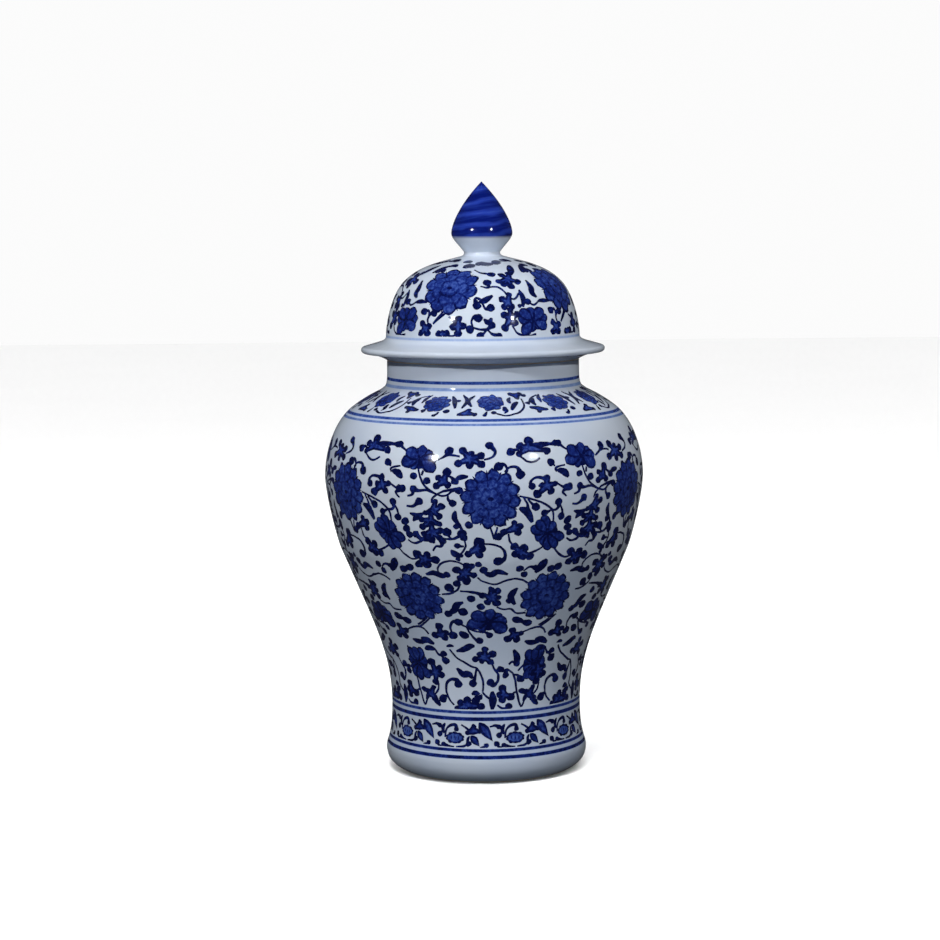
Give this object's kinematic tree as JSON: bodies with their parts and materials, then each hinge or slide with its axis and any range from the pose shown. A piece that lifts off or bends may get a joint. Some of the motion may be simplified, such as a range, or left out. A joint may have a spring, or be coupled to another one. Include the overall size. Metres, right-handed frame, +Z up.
{
  "type": "ginger jar",
  "caption": "Covered baluster jar of glazed porcelain with a domed lid that lifts off, a flat brim and a bud finial.",
  "frame": {"origin": "centre of the circle that the foot ring stands on", "axes": "+Z up the jar's axis, from the foot to the finial's tip; the jar is round, so +X and -Y (the front) are free choices"},
  "size_m": [0.2492, 0.2492, 0.46],
  "materials": {
    "painted_glaze": "gloss",
    "clear_glaze": "gloss",
    "cobalt_glaze": "gloss",
    "bare_porcelain": "matte"
  },
  "bodies": {
    "jar": {"lower_body": "painted_glaze", "upper_body": "painted_glaze", "neck_ring": "clear_glaze"},
    "lid": {"lid_dome": "painted_glaze", "lid_collar": "bare_porcelain", "finial": "cobalt_glaze"}
  },
  "joints": [
    {"name": "lid_lift", "type": "slide", "parent": "jar", "child": "lid", "axis": [0, 0, 1], "range_m": [0, 0.18]}
  ]
}
